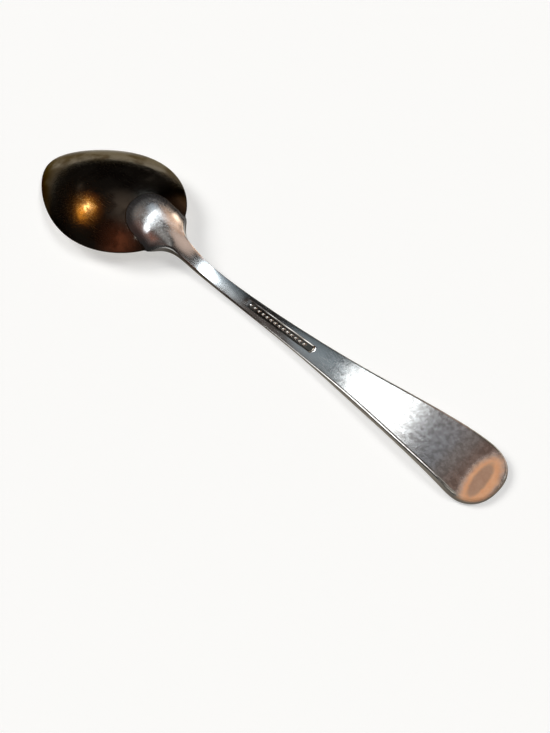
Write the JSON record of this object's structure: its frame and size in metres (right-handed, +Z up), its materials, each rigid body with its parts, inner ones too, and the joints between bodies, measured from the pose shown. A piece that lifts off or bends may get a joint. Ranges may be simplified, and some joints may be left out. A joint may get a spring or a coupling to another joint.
{
  "type": "teaspoon",
  "caption": "Silver-plated teaspoon lying face down: egg-shaped domed bowl, heel drop, slim arched stem with a struck recess, widening to a rounded handle end.",
  "frame": {"origin": "centre of the spoon's bounding box at table level, with the spoon lying face down as pictured", "axes": "+X along the spoon from the bowl's tip to the handle's end, +Y across it, +Z up, the way the bowl's back faces"},
  "size_m": [0.138, 0.0306, 0.0102],
  "materials": {
    "bowl_silver": "silver plate toned dark brown with age, still a clear mirror, with fine wear scratches",
    "handle_silver": "polished silver plate, scratched by use, darker in the struck recess",
    "solder": "silver solder, slightly tarnished"
  },
  "bodies": {
    "root": {"bowl": "bowl_silver", "handle": "handle_silver", "solder_seam": "solder"}
  },
  "joints": []
}
